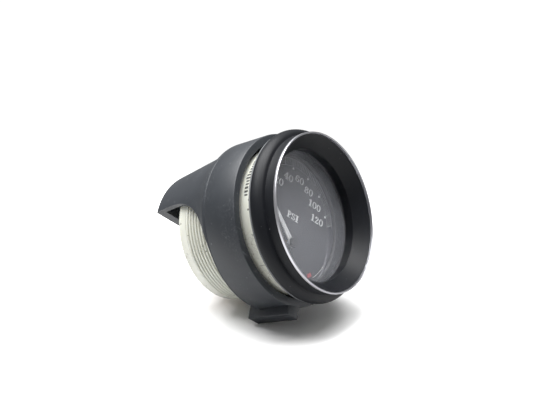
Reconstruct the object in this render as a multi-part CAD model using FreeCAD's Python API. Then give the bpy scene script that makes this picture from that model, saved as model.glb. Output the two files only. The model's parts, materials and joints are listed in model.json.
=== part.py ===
"""Panel pressure gauge with a black bezel, a white threaded case and a hooded retaining collar.

Frame: millimetres. The gauge axis lies along Y and the dial faces -Y. +X is the dial's right,
+Z is the dial's top. The origin is on the axis, in the plane where the panel's front face
meets the bezel gasket.
"""
import FreeCAD
import Part
import math
import os

V = FreeCAD.Vector

# ---- driving dimensions, mm -------------------------------------------------------------
PANEL_HOLE_R = 26.2          # the case passes through a 2 1/16 inch panel hole
PANEL_GAP = 5.6              # from the gasket's back face to the collar's front face
RIM_Y = -9.3                 # front edge of the bezel
RIM_R = 27.5                 # outside of the bezel's front rim
RIM_LIP = 0.55               # radial width of the bright front rim
RIM_DEPTH = 0.9              # depth of the bright front rim
FLANGE_R = 30.0              # bead that rests against the panel
BEAD_R, BEAD_Y, BEAD_HIGH, BEAD_DEPTH = 27.6, -1.7, 2.4, 3.2     # its front is a quarter ellipse
GASKET_T, GASKET_R = 0.6, 29.6
SEAT_R = 22.9                # narrow end of the bezel's inner cone
SEAT_Y = -3.5
LENS_R, LENS_Y, LENS_T = 24.2, 0.3, 1.2
DIAL_Y, DIAL_T, DIAL_R = 6.4, 0.5, 24.2
CASE_BORE_R, CASE_INNER_R = 24.35, 22.6
CASE_END_Y = 37.5            # rear lip of the case
WALL_Y0, WALL_Y1 = 33.5, 35.5
THREAD_CREST_R, THREAD_ROOT_R, THREAD_PITCH = 25.3, 24.7, 1.4
THREAD_Y0, THREAD_Y1 = 10.0, 33.9
RIDGE = (0.275, 0.475, 0.725, 0.925)     # foot, crest, crest and foot, as shares of the pitch
LIP_R = 24.6

COLLAR_R, COLLAR_BACK_Y = 30.4, 19.1
HOOD_SHOULDER_R, HOOD_SHOULDER_Y = 28.1, 26.5
HOOD_END_R, HOOD_END_Y = 24.6, 50.2
HOOD_WALL, HOOD_BACK_T = 1.5, 4.1
HOOD_CUT_Z, HOOD_CUT_FILLET = -0.8, 21.0
LUG_X0, LUG_X1, LUG_Z, LUG_TOP_Z, LUG_BACK_Y = 4.5, 10.2, -33.2, -28.0, 23.4

PIVOT_Z = -9.0               # pointer pivot, below the dial's centre
ZERO_ANGLE = 141.3           # pointer direction at no pressure, from +X towards +Z
CAP_Y0, POINTER_Y0, POINTER_Y1, HUB_END_Y = 3.7, 4.45, 5.1, 6.1
CAP_R, HUB_R, HUB_NECK_R = 1.9, 1.7, 1.2
SHAFT_R, JOURNAL_R = 0.6, 0.45       # the pinion's arbor, and where it thins in the back plate
MODULE = 0.5
PINION_TEETH, SECTOR_TEETH = 10, 60
PINION_R = MODULE * PINION_TEETH / 2
SECTOR_R = MODULE * SECTOR_TEETH / 2
SECTOR_Z = PIVOT_Z + PINION_R + SECTOR_R
SWEEP = 102.6                # pointer travel, degrees
SECTOR_SWING = SWEEP * PINION_TEETH / SECTOR_TEETH
TAIL_R = 6.2                 # from the sector's arbor to its tail pin
LINK_LENGTH = 14.1
GEAR_Y0, GEAR_Y1 = 10.6, 11.6
SECTOR_ARBOR_R, SECTOR_HUB_R = 0.75, 2.0
SECTOR_SPARE, SECTOR_SHOULDER = 9.0, 3.0     # degrees of teeth past the travel, and of rim past them
LINK_Y0, LINK_Y1, LINK_R = 11.9, 12.6, 1.1
LINK_PIN_R = 0.5
PLATE_FRONT_Y0, PLATE_FRONT_Y1 = 9.0, 10.0
PLATE_BACK_Y0, PLATE_BACK_Y1 = 12.9, 13.9
TUBE_R, TUBE_Y = 19.0, 20.0  # centreline of the Bourdon tube
TUBE_W, TUBE_H, TUBE_WALL = 5.0, 2.4, 0.4
TUBE_START, TUBE_END = -58.0, 138.0
TIP_ARM_Y0, TIP_ARM_Y1 = 13.2, 14.2
STEM_Z, STEM_R, STEM_END_Y = -12.0, 5.14, 47.7
SHANK_R, SHANK_END_Y = 5.34, 40.3    # the stem is a little thicker where its nut sits
LAMP_X, LAMP_Z = 12.0, 7.0
LAMP_BARREL_R, LAMP_FLANGE_T, LAMP_KNOB_END, LAMP_GRIP_END = 5.0, 1.6, 4.2, 6.0
TERMINAL_OFF, TERMINAL_HALF_X, TERMINAL_HALF_Z = 3.2, 0.4, 0.8
BULB_R, BULB_Y0, BULB_Y1 = 2.6, 24.5, 34.5
WASHER_R, WASHER_T, NUT_T, NUT_FLATS = 7.6, 0.8, 3.4, 14.0
SCREW_R, SCREW_HEAD_R, SCREW_HEAD_T = 0.6, 1.2, 0.7
PLATE_SCREW_HOLE_R, PILLAR_R = 0.62, 1.1
SPRING_Y0, SPRING_Y1, STUD_X = 7.4, 7.9, 4.4
RESTRICTOR_Y, RESTRICTOR_END_Y = 42.0, 44.2
PASSAGE_R, PASSAGE_WIDE_R = 1.6, 2.4
FIT = 0.1                    # clearance where one fixed part passes through another


# ---- helpers ----------------------------------------------------------------------------
def cyl(r, y0, y1, x=0.0, z=0.0):
    return Part.makeCylinder(r, y1 - y0, V(x, y0, z), V(0, 1, 0))


def ring(r_out, r_in, y0, y1, x=0.0, z=0.0):
    return cyl(r_out, y0, y1, x, z).cut(cyl(r_in, y0, y1, x, z))


def block(x0, x1, y0, y1, z0, z1):
    return Part.makeBox(x1 - x0, y1 - y0, z1 - z0, V(x0, y0, z0))


def turned(points):
    """Revolve a closed outline of (radius, y) points about the gauge axis."""
    wire = Part.makePolygon([V(r, y, 0) for r, y in points + points[:1]])
    return Part.Face(wire).revolve(V(0, 0, 0), V(0, 1, 0), 360)


def prism(points, y0, y1):
    """A plate whose outline is a list of (x, z) points."""
    wire = Part.makePolygon([V(x, y0, z) for x, z in points + points[:1]])
    return Part.Face(wire).extrude(V(0, y1 - y0, 0))


def polar(r, degrees, x=0.0, z=0.0):
    a = math.radians(degrees)
    return (x + r * math.cos(a), z + r * math.sin(a))


def edges_at(shape, y):
    """The round edges of a shape that lie in the plane at y."""
    return [e for e in shape.Edges
            if isinstance(e.Curve, Part.Circle) and abs(e.CenterOfMass.y - y) < 0.01]


def spun(shape, degrees, x, z):
    """Turn a shape about an axis along Y through (x, z), counter-clockwise seen from the dial."""
    out = shape.copy()
    out.rotate(V(x, 0, z), V(0, 1, 0), -degrees)
    return out


def slot_plate(p0, p1, r, y0, y1):
    """A flat link with round ends between two (x, z) centres."""
    length = math.dist(p0, p1)
    nx, nz = -(p1[1] - p0[1]) / length * r, (p1[0] - p0[0]) / length * r
    bar = prism([(p0[0] + nx, p0[1] + nz), (p1[0] + nx, p1[1] + nz),
                 (p1[0] - nx, p1[1] - nz), (p0[0] - nx, p0[1] - nz)], y0, y1)
    return bar.fuse([cyl(r, y0, y1, *p0), cyl(r, y0, y1, *p1)]).removeSplitter()


# ---- gear teeth -------------------------------------------------------------------------
PRESSURE = math.radians(20)
TOOTH_SHARE = 0.40           # tooth thickness over pitch: less than half leaves backlash
ADDENDUM, PINION_DEDENDUM, SECTOR_DEDENDUM = 0.40, 0.62, 0.66


def tooth(teeth, dedendum):
    """One involute tooth, pointing along +X from a centre at (0, 0), as (x, z) points."""
    pitch_r = MODULE * teeth / 2
    base_r = pitch_r * math.cos(PRESSURE)
    root_r, tip_r = pitch_r - dedendum, pitch_r + ADDENDUM
    half = math.pi * TOOTH_SHARE / teeth
    at_pitch = math.tan(PRESSURE) - PRESSURE

    def half_angle(r):
        if r <= base_r:
            return half + at_pitch
        roll = math.acos(base_r / r)
        return half + at_pitch - (math.tan(roll) - roll)

    radii = [root_r * 0.97] + [root_r + (tip_r - root_r) * i / 5 for i in range(6)]
    side = [(r * math.cos(half_angle(r)), r * math.sin(half_angle(r))) for r in radii]
    return side + [(x, -z) for x, z in reversed(side)]


def gear_teeth(teeth, dedendum, angles, x, z):
    one = [(px + x, pz + z) for px, pz in tooth(teeth, dedendum)]
    blank = prism(one, GEAR_Y0, GEAR_Y1)
    return [spun(blank, a, x, z) for a in angles]


# ---- front: bezel, gaskets, lens, dial --------------------------------------------------
def bezel():
    """Plain tube in front, a broad bead behind it, and a cone inside that ends at the lens."""
    angles = [math.radians(a) for a in range(-84, 1, 12)]
    bead = [(BEAD_R + BEAD_HIGH * math.cos(a), BEAD_Y + BEAD_DEPTH * math.sin(a)) for a in angles]
    return turned([(RIM_R - 0.1, RIM_Y + RIM_DEPTH), (RIM_R - 0.1, -5.1)] + bead + [
        (FLANGE_R, -1.5), (FLANGE_R - 0.3, -0.9), (29.2, -GASKET_T),
        (PANEL_HOLE_R + 0.05, -GASKET_T), (PANEL_HOLE_R + 0.05, -2.8),
        (CASE_BORE_R - 0.05, -2.8), (CASE_BORE_R - 0.05, -0.1), (SEAT_R + 0.5, -0.1),
        (SEAT_R, SEAT_Y), (RIM_R - RIM_LIP - 0.1, RIM_Y + RIM_DEPTH)])


def rim_ring():
    inner = RIM_R - RIM_LIP
    return turned([(RIM_R, RIM_Y + RIM_DEPTH), (RIM_R, RIM_Y + 0.25), (RIM_R - 0.25, RIM_Y),
                   (inner + 0.2, RIM_Y), (inner, RIM_Y + 0.2), (inner - 0.1, RIM_Y + RIM_DEPTH)])


def panel_gasket():
    return ring(GASKET_R, PANEL_HOLE_R + FIT, -GASKET_T, 0)


def lens_gasket():
    return ring(LENS_R, SEAT_R + 0.5, -0.1, LENS_Y)


def lens():
    edge = 0.4
    return turned([(0, LENS_Y), (LENS_R - edge, LENS_Y), (LENS_R, LENS_Y + edge),
                   (LENS_R, LENS_Y + LENS_T), (0, LENS_Y + LENS_T)])


def spacer_ring():
    y0 = LENS_Y + LENS_T
    return turned([(DIAL_R, y0), (DIAL_R, DIAL_Y), (22.4, DIAL_Y), (22.4, DIAL_Y - 0.5),
                   (SEAT_R, DIAL_Y - 1.0), (SEAT_R, y0)])


def dial():
    back = DIAL_Y + DIAL_T
    return cyl(DIAL_R, DIAL_Y, back).cut(cyl(HUB_NECK_R + FIT, DIAL_Y, back, 0, PIVOT_Z))


def zero_stop():
    """A peg that the pointer's side comes to rest against at no pressure."""
    peg_r, along, aside = 0.45, 12.0, 1.25
    x, z = polar(along, ZERO_ANGLE, 0, PIVOT_Z)
    dx, dz = polar(aside, ZERO_ANGLE + 90)
    return cyl(peg_r, POINTER_Y0, DIAL_Y, x + dx, z + dz)


# ---- pointer ----------------------------------------------------------------------------
def pointer():
    """A tapering blade with a ridge along its front, on a hub pressed onto the arbor."""
    length, root_x, root_w, tip_w = 22.0, 1.6, 1.05, 0.4
    side_t, tip_t = 0.25, 0.35
    y_top, y_flat = POINTER_Y0, POINTER_Y1

    def section(x, w, crest):
        pts = [V(x, y_flat, w), V(x, y_flat - side_t, w), V(x, y_flat - crest, 0),
               V(x, y_flat - side_t, -w), V(x, y_flat, -w)]
        return Part.makePolygon(pts + pts[:1])

    blade = Part.makeLoft([section(root_x, root_w, y_flat - y_top), section(length, tip_w, tip_t)],
                          True, True)
    blade.translate(V(0, 0, PIVOT_Z))
    hub = cyl(HUB_R, y_top, y_flat, 0, PIVOT_Z).fuse(cyl(HUB_NECK_R, y_flat, HUB_END_Y, 0, PIVOT_Z))
    bored = hub.fuse(blade).cut(cyl(SHAFT_R, y_top, HUB_END_Y, 0, PIVOT_Z))
    return spun(bored, ZERO_ANGLE, 0, PIVOT_Z)


def pointer_cap():
    rounding = 0.4
    crown = cyl(CAP_R, CAP_Y0, POINTER_Y0, 0, PIVOT_Z)
    return crown.makeFillet(rounding, edges_at(crown, CAP_Y0))


def pinion_arbor():
    """Arbor with the pinion's teeth; it carries the pointer and turns in both plates."""
    shoulder = 0.3
    shaft = cyl(SHAFT_R, POINTER_Y0, PLATE_BACK_Y0, 0, PIVOT_Z)
    journal = cyl(JOURNAL_R, PLATE_BACK_Y0, PLATE_BACK_Y1 - FIT, 0, PIVOT_Z)
    core = cyl(PINION_R - PINION_DEDENDUM, GEAR_Y0 - shoulder, GEAR_Y1 + shoulder, 0, PIVOT_Z)
    step = 360 / PINION_TEETH
    angles = [90 + step * (i + 0.5) for i in range(PINION_TEETH)]
    teeth = gear_teeth(PINION_TEETH, PINION_DEDENDUM, angles, 0, PIVOT_Z)
    return core.fuse([shaft.fuse(journal)] + teeth)


# ---- sector, link and tube --------------------------------------------------------------
def tail_point():
    return polar(TAIL_R, 90 - SECTOR_SWING / 2, 0, SECTOR_Z)


def tip_point():
    x, z = tail_point()
    return (x - LINK_LENGTH, z)


def sector_gear():
    """A toothed sector below its arbor and a tail above it, cut from one plate."""
    step = 360 / SECTOR_TEETH
    first, last = 270 - SECTOR_SWING - SECTOR_SPARE, 270 + SECTOR_SPARE
    count = int((last - first) / step)
    start = 270 - step * round((270 - first) / step)
    angles = [start + step * i for i in range(count + 1)]
    rim_r, waist, rim_steps = SECTOR_R - SECTOR_DEDENDUM, 15, 8

    def at(r, degrees):
        return polar(r, degrees, 0, SECTOR_Z)

    rim = [at(rim_r, first + (last - first) * i / rim_steps) for i in range(rim_steps + 1)]
    fan = prism([at(SECTOR_HUB_R, first + waist), at(rim_r, first - SECTOR_SHOULDER)] + rim
                + [at(rim_r, last + SECTOR_SHOULDER), at(SECTOR_HUB_R, last - waist)],
                GEAR_Y0, GEAR_Y1)
    middle, near_r, far_r, near_half, far_half = (first + last) / 2, 4.5, rim_r - 2.6, 8, 10
    window = prism([at(near_r, middle - near_half), at(far_r, middle - far_half),
                    at(far_r, middle + far_half), at(near_r, middle + near_half)],
                   GEAR_Y0, GEAR_Y1)
    hub = cyl(SECTOR_HUB_R, GEAR_Y0, GEAR_Y1, 0, SECTOR_Z)
    tail = slot_plate((0, SECTOR_Z), tail_point(), 1.3, GEAR_Y0, GEAR_Y1)
    teeth = gear_teeth(SECTOR_TEETH, SECTOR_DEDENDUM, angles, 0, SECTOR_Z)
    body = hub.fuse([fan.cut(window), tail] + teeth)
    return body.cut(cyl(SECTOR_ARBOR_R, GEAR_Y0, GEAR_Y1, 0, SECTOR_Z)).cut(
        cyl(LINK_PIN_R, GEAR_Y0, GEAR_Y1, *tail_point()))


def sector_arbor():
    return cyl(SECTOR_ARBOR_R, PLATE_FRONT_Y1 + FIT, PLATE_BACK_Y0 - FIT, 0, SECTOR_Z).fuse(
        cyl(JOURNAL_R, PLATE_FRONT_Y0 + FIT, PLATE_BACK_Y1 - FIT, 0, SECTOR_Z))


def tail_pin():
    x, z = tail_point()
    head_r, head_t = 0.9, 0.4
    return cyl(LINK_PIN_R, GEAR_Y0, PLATE_BACK_Y0, x, z).fuse(
        cyl(head_r, GEAR_Y0 - head_t, GEAR_Y0, x, z))


def link_bar():
    """Flat link; its hole at the tube's end is loose, which takes up the tube's slight arc."""
    close, loose = 0.04, 0.18
    bar = slot_plate(tail_point(), tip_point(), LINK_R, LINK_Y0, LINK_Y1)
    return bar.cut(cyl(LINK_PIN_R + close, LINK_Y0, LINK_Y1, *tail_point())).cut(
        cyl(LINK_PIN_R + loose, LINK_Y0, LINK_Y1, *tip_point()))


def tip_pin():
    x, z = tip_point()
    head_r, head_t = 0.95, 0.4
    head_y = LINK_Y0 - 0.7
    return cyl(LINK_PIN_R, head_y + head_t / 2, TIP_ARM_Y1, x, z).fuse(
        cyl(head_r, head_y, head_y + head_t, x, z))


def tube_section(grow):
    """Flattened oval across the tube, at the start of its sweep, in the plane X-Y."""
    half_w, half_h = TUBE_W / 2 + grow, TUBE_H / 2 + grow
    straight = half_w - half_h
    c = TUBE_R
    lines = [Part.LineSegment(V(c + half_h, TUBE_Y - straight, 0), V(c + half_h, TUBE_Y + straight, 0)),
             Part.Arc(V(c + half_h, TUBE_Y + straight, 0), V(c, TUBE_Y + half_w, 0),
                      V(c - half_h, TUBE_Y + straight, 0)),
             Part.LineSegment(V(c - half_h, TUBE_Y + straight, 0), V(c - half_h, TUBE_Y - straight, 0)),
             Part.Arc(V(c - half_h, TUBE_Y - straight, 0), V(c, TUBE_Y - half_w, 0),
                      V(c + half_h, TUBE_Y - straight, 0))]
    return Part.Face(Part.Wire([line.toShape() for line in lines]))


def tube_arc(grow, start, end):
    swept = tube_section(grow).revolve(V(0, 0, 0), V(0, 1, 0), -(end - start))
    return spun(swept, start, 0, 0)


def bourdon_tube():
    return tube_arc(0, TUBE_START, TUBE_END).cut(tube_arc(-TUBE_WALL, TUBE_START, TUBE_END - 1))


def tube_tip():
    """Soldered end piece with an arm that reaches forward to the link."""
    wall, lap, beyond = 0.5, 4.0, 9.0
    arm_r, post_r = 1.5, 1.2
    cap = tube_arc(wall, TUBE_END - lap, TUBE_END + beyond).cut(
        tube_arc(0, TUBE_END - lap - 0.5, TUBE_END))
    foot = polar(TUBE_R, TUBE_END + 3)
    arm = slot_plate(foot, tip_point(), arm_r, TIP_ARM_Y0, TIP_ARM_Y1)
    post = cyl(post_r, TIP_ARM_Y0, TUBE_Y - TUBE_W / 2 - 0.3, *foot)
    return cap.fuse([arm, post]).cut(cyl(LINK_PIN_R, TIP_ARM_Y0, TIP_ARM_Y1, *tip_point()))


# ---- socket and movement frame ----------------------------------------------------------
def socket():
    """Brass block with the threaded inlet stem; the tube is soldered into its side."""
    rounding, chamfer = 1.5, 0.6
    feed_r, feed_length, feed_way = 0.8, 9.5, V(1, 0, -0.2)
    body = block(-6.5, 9.0, PLATE_BACK_Y1, WALL_Y0, -18.6, -6.2)
    corner = [e for e in body.Edges if abs(abs(e.tangentAt(e.FirstParameter).y) - 1) < 1e-6]
    body = body.makeFillet(rounding, corner)
    stem = cyl(STEM_R, SHANK_END_Y, STEM_END_Y, 0, STEM_Z)
    stem = stem.makeChamfer(chamfer, edges_at(stem, STEM_END_Y)).fuse(
        cyl(SHANK_R, WALL_Y0, SHANK_END_Y, 0, STEM_Z))
    passage = cyl(PASSAGE_R, TUBE_Y - 0.5, STEM_END_Y, 0, STEM_Z).fuse(
        cyl(PASSAGE_WIDE_R, RESTRICTOR_Y, STEM_END_Y, 0, STEM_Z))
    feed = Part.makeCylinder(feed_r, feed_length, V(0, TUBE_Y, STEM_Z), feed_way)
    return body.fuse(stem).cut(passage).cut(feed).cut(tube_arc(0, TUBE_START, 0))


def inlet_restrictor():
    """A plug with a fine hole, pressed into the inlet, which steadies the pointer."""
    hole_r, gap = 0.4, 0.05
    return ring(PASSAGE_WIDE_R - gap, hole_r, RESTRICTOR_Y, RESTRICTOR_END_Y, 0, STEM_Z)


PILLARS = [(-3.9, -14.4), (3.9, -14.4), (-4.2, 10.6), (4.2, 10.6)]


def plate(y0, y1, arbor_hole_r):
    """One of the movement's two plates, with holes for both arbors and four screws."""
    outline = slot_plate((0, -13.0), (0, 7.8), 6.2, y0, y1)
    outline = outline.cut(cyl(arbor_hole_r, y0, y1, 0, PIVOT_Z))
    outline = outline.cut(cyl(JOURNAL_R + 0.05, y0, y1, 0, SECTOR_Z))
    for x, z in PILLARS:
        outline = outline.cut(cyl(PLATE_SCREW_HOLE_R, y0, y1, x, z))
    return outline


def front_plate():
    return plate(PLATE_FRONT_Y0, PLATE_FRONT_Y1, SHAFT_R + 0.06)


def back_plate():
    return plate(PLATE_BACK_Y0, PLATE_BACK_Y1, JOURNAL_R + 0.05)


def pillars():
    return Part.Compound([ring(PILLAR_R, PLATE_SCREW_HOLE_R, PLATE_FRONT_Y1, PLATE_BACK_Y0, x, z)
                          for x, z in PILLARS])


def plate_screw(x, z):
    slot_depth, slot_half = 0.3, 0.18
    top = PLATE_FRONT_Y0 - SCREW_HEAD_T
    head = cyl(SCREW_HEAD_R, top, PLATE_FRONT_Y0, x, z)
    slot = block(x - SCREW_HEAD_R - FIT, x + SCREW_HEAD_R + FIT, top, top + slot_depth,
                 z - slot_half, z + slot_half)
    return head.cut(slot).fuse(cyl(SCREW_R, PLATE_FRONT_Y0, PLATE_BACK_Y1 - 0.05, x, z))


def plate_screws():
    return Part.Compound([plate_screw(x, z) for x, z in PILLARS])


def hairspring():
    """Flat spiral between the front plate and the dial, from the arbor's collet to its stud."""
    turns, r0, r1, strip, steps = 3.0, 1.45, 3.6, 0.12, 54

    def spiral(grow):
        return [polar(r0 + grow + (r1 - r0) * i / steps, 360 * turns * i / steps, 0, PIVOT_Z)
                for i in range(steps + 1)]

    return prism(spiral(0) + spiral(strip)[::-1], SPRING_Y0, SPRING_Y1)


def hairspring_stud():
    """A post on the front plate with a small foot that holds the spring's outer end."""
    post_r, foot_x, foot_half = 0.5, 3.72, 0.3
    foot = block(foot_x, STUD_X, SPRING_Y0, SPRING_Y1, PIVOT_Z - foot_half, PIVOT_Z + foot_half)
    return cyl(post_r, SPRING_Y0 - 0.3, PLATE_FRONT_Y0, STUD_X, PIVOT_Z).fuse(foot)


def hairspring_collet():
    return ring(1.4, SHAFT_R, SPRING_Y0 - 0.2, SPRING_Y1 + 0.2, 0, PIVOT_Z)


# ---- case and rear fittings -------------------------------------------------------------
def case():
    """White cup: plain where the panel sits, ridged for the collar, plain at the rear lip."""
    seat_y, rim_chamfer = -2.75, 0.5
    dial_back = DIAL_Y + DIAL_T
    outline = [(CASE_BORE_R, seat_y), (PANEL_HOLE_R, seat_y), (PANEL_HOLE_R, THREAD_Y0 - 0.8),
               (THREAD_ROOT_R, THREAD_Y0)]
    ridges = int((THREAD_Y1 - THREAD_Y0) / THREAD_PITCH)
    for i in range(ridges):
        y = THREAD_Y0 + THREAD_PITCH * i
        foot, crest, crest_end, foot_end = (y + THREAD_PITCH * share for share in RIDGE)
        outline += [(THREAD_ROOT_R, foot), (THREAD_CREST_R, crest),
                    (THREAD_CREST_R, crest_end), (THREAD_ROOT_R, foot_end)]
    outline += [(LIP_R, THREAD_Y1 + 0.2), (LIP_R, CASE_END_Y - rim_chamfer),
                (LIP_R - rim_chamfer, CASE_END_Y), (LIP_R - 1.6, CASE_END_Y),
                (LIP_R - 1.9, WALL_Y1), (0, WALL_Y1), (0, WALL_Y0), (CASE_INNER_R, WALL_Y0),
                (CASE_INNER_R, dial_back), (CASE_BORE_R, dial_back)]
    vent_r, vent_x, vent_z = 1.0, -13.0, 4.0
    holes = [cyl(SHANK_R + FIT, WALL_Y0, WALL_Y1, 0, STEM_Z),
             cyl(LAMP_BARREL_R + FIT, WALL_Y0, WALL_Y1, LAMP_X, LAMP_Z),
             cyl(vent_r, WALL_Y0, WALL_Y1, vent_x, vent_z)]
    return turned(outline).cut(Part.Compound(holes))


def hexagon(across_flats, y0, y1, x, z):
    r = across_flats / math.sqrt(3)
    return prism([polar(r, 60 * i, x, z) for i in range(6)], y0, y1)


def stem_washer():
    return ring(WASHER_R, SHANK_R + FIT, WALL_Y1, WALL_Y1 + WASHER_T, 0, STEM_Z)


def stem_nut():
    """Hexagon nut, with the corners of its rear face turned off to a cone."""
    corner_r, face_r, cone_t, close = 9.2, 7.0, 2.2, 0.02
    y0 = WALL_Y1 + WASHER_T
    y1 = y0 + NUT_T
    crown = Part.makeCone(corner_r, face_r, cone_t, V(0, y1 - cone_t, STEM_Z), V(0, 1, 0)).fuse(
        cyl(corner_r, y0, y1 - cone_t, 0, STEM_Z))
    return hexagon(NUT_FLATS, y0, y1, 0, STEM_Z).common(crown).cut(
        cyl(SHANK_R + close, y0, y1, 0, STEM_Z))


def terminal_blocks(y0, y1):
    """The two flat tabs beside the lamp's axis, or the slots that they pass through."""
    return [block(x - TERMINAL_HALF_X, x + TERMINAL_HALF_X, y0, y1,
                  LAMP_Z - TERMINAL_HALF_Z, LAMP_Z + TERMINAL_HALF_Z)
            for x in (LAMP_X - TERMINAL_OFF, LAMP_X + TERMINAL_OFF)]


def lamp_holder():
    """Quarter-turn lamp holder: a barrel in the case's rear wall, a flange and a grip bar."""
    bore_r, barrel_y0, flange_r, knob_r, grip_half, grip_half_t = 3.2, 28.0, 6.4, 4.6, 5.6, 1.1
    flange_y1, grip_y1 = WALL_Y1 + LAMP_FLANGE_T, WALL_Y1 + LAMP_GRIP_END
    barrel = ring(LAMP_BARREL_R, bore_r, barrel_y0, WALL_Y1, LAMP_X, LAMP_Z)
    flange = cyl(flange_r, WALL_Y1, flange_y1, LAMP_X, LAMP_Z)
    knob = cyl(knob_r, flange_y1, WALL_Y1 + LAMP_KNOB_END, LAMP_X, LAMP_Z)
    grip = block(LAMP_X - grip_half, LAMP_X + grip_half, flange_y1, grip_y1,
                 LAMP_Z - grip_half_t, LAMP_Z + grip_half_t)
    return barrel.fuse([flange, knob, grip]).cut(Part.Compound(terminal_blocks(WALL_Y1, grip_y1)))


def lamp_terminals():
    sunk, reach = 0.1, 9.0
    return Part.Compound(terminal_blocks(WALL_Y1 + sunk, WALL_Y1 + reach))


def lamp_bulb():
    glass = cyl(BULB_R, BULB_Y0, BULB_Y1, LAMP_X, LAMP_Z)
    return glass.fuse(Part.makeSphere(BULB_R, V(LAMP_X, BULB_Y0, LAMP_Z))).removeSplitter()


def retaining_collar():
    """Collar that screws along the case and clamps the panel, in one piece with its rear hood."""
    shell = turned([
        (COLLAR_R, PANEL_GAP + 0.4), (COLLAR_R, COLLAR_BACK_Y), (29.9, COLLAR_BACK_Y + 1.5),
        (28.7, COLLAR_BACK_Y + 5.2), (HOOD_SHOULDER_R, HOOD_SHOULDER_Y),
        (HOOD_END_R + 0.25, HOOD_END_Y - 0.9), (HOOD_END_R - 0.5, HOOD_END_Y), (0, HOOD_END_Y),
        (0, HOOD_END_Y - HOOD_BACK_T),
        (HOOD_END_R - HOOD_WALL + 0.3, HOOD_END_Y - HOOD_BACK_T),
        (HOOD_SHOULDER_R - HOOD_WALL, HOOD_SHOULDER_Y), (27.9, COLLAR_BACK_Y + 1.0),
        (THREAD_CREST_R + 0.1, COLLAR_BACK_Y), (THREAD_CREST_R + 0.1, 10.4),
        (PANEL_HOLE_R + 0.1, 10.0), (PANEL_HOLE_R + 0.1, 8.4), (27.7, 7.6),
        (27.7, PANEL_GAP), (COLLAR_R - 0.4, PANEL_GAP)])
    return shell.cut(below_hood()).fuse(collar_lug()).removeSplitter()


def below_hood():
    """What is cut away below the hood: one side view, with a large fillet, drawn right across."""
    far = 80.0
    r = HOOD_CUT_FILLET
    y0, z0 = COLLAR_BACK_Y, HOOD_CUT_Z
    mid = r * (1 - math.sqrt(0.5))
    wire = Part.Wire([
        Part.LineSegment(V(-far, y0, -far), V(-far, y0, z0 - r)).toShape(),
        Part.Arc(V(-far, y0, z0 - r), V(-far, y0 + mid, z0 - mid), V(-far, y0 + r, z0)).toShape(),
        Part.LineSegment(V(-far, y0 + r, z0), V(-far, far, z0)).toShape(),
        Part.LineSegment(V(-far, far, z0), V(-far, far, -far)).toShape(),
        Part.LineSegment(V(-far, far, -far), V(-far, y0, -far)).toShape()])
    return Part.Face(wire).extrude(V(2 * far, 0, 0))


def collar_lug():
    """The square lug on the collar's underside; it stays clear of the collar's bore."""
    root, spare, step = 1.0, 1.5, 0.5
    lug = block(LUG_X0, LUG_X1, PANEL_GAP, LUG_BACK_Y, LUG_Z, LUG_TOP_Z + root)
    lug = lug.cut(cyl(COLLAR_R - spare, PANEL_GAP, COLLAR_BACK_Y - step))
    return lug.cut(block(LUG_X0, LUG_X1, COLLAR_BACK_Y, LUG_BACK_Y, LUG_TOP_Z, LUG_TOP_Z + root))


PARTS = {
    "bezel": bezel, "rim_ring": rim_ring, "panel_gasket": panel_gasket, "lens_gasket": lens_gasket,
    "lens": lens, "spacer_ring": spacer_ring, "dial": dial, "zero_stop": zero_stop,
    "pointer": pointer, "pointer_cap": pointer_cap, "pinion_arbor": pinion_arbor,
    "sector_gear": sector_gear, "sector_arbor": sector_arbor, "tail_pin": tail_pin,
    "link_bar": link_bar, "tip_pin": tip_pin, "tube_tip": tube_tip, "bourdon_tube": bourdon_tube,
    "socket": socket, "inlet_restrictor": inlet_restrictor, "front_plate": front_plate,
    "back_plate": back_plate, "plate_pillars": pillars, "plate_screws": plate_screws,
    "hairspring": hairspring, "hairspring_stud": hairspring_stud,
    "hairspring_collet": hairspring_collet, "case": case, "stem_washer": stem_washer,
    "stem_nut": stem_nut, "lamp_holder": lamp_holder, "lamp_terminals": lamp_terminals,
    "lamp_bulb": lamp_bulb, "retaining_collar": retaining_collar,
}

os.makedirs("parts", exist_ok=True)
for name, make in PARTS.items():
    shape = make()
    shape.exportStep("parts/" + name + ".step")
    print(f"{name:18s} valid {shape.isValid()} solids {len(shape.Solids)} volume {shape.Volume:9.2f}")
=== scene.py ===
# %% [markdown]
# # A panel pressure gauge, looks built around its CAD parts
# The gauge is a short round instrument: a black bezel and a lens in front, a white case behind,
# and a black collar with a hood that screws along the case to clamp the panel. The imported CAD
# model gives every part's place. This lesson gives the parts their finish, and remakes the
# parts that the eye rests on with softer edges and finer detail than a CAD mesh has.

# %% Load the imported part
import bpy
import bmesh
import json
import math
import random
from mathutils import Matrix, Vector


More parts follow.
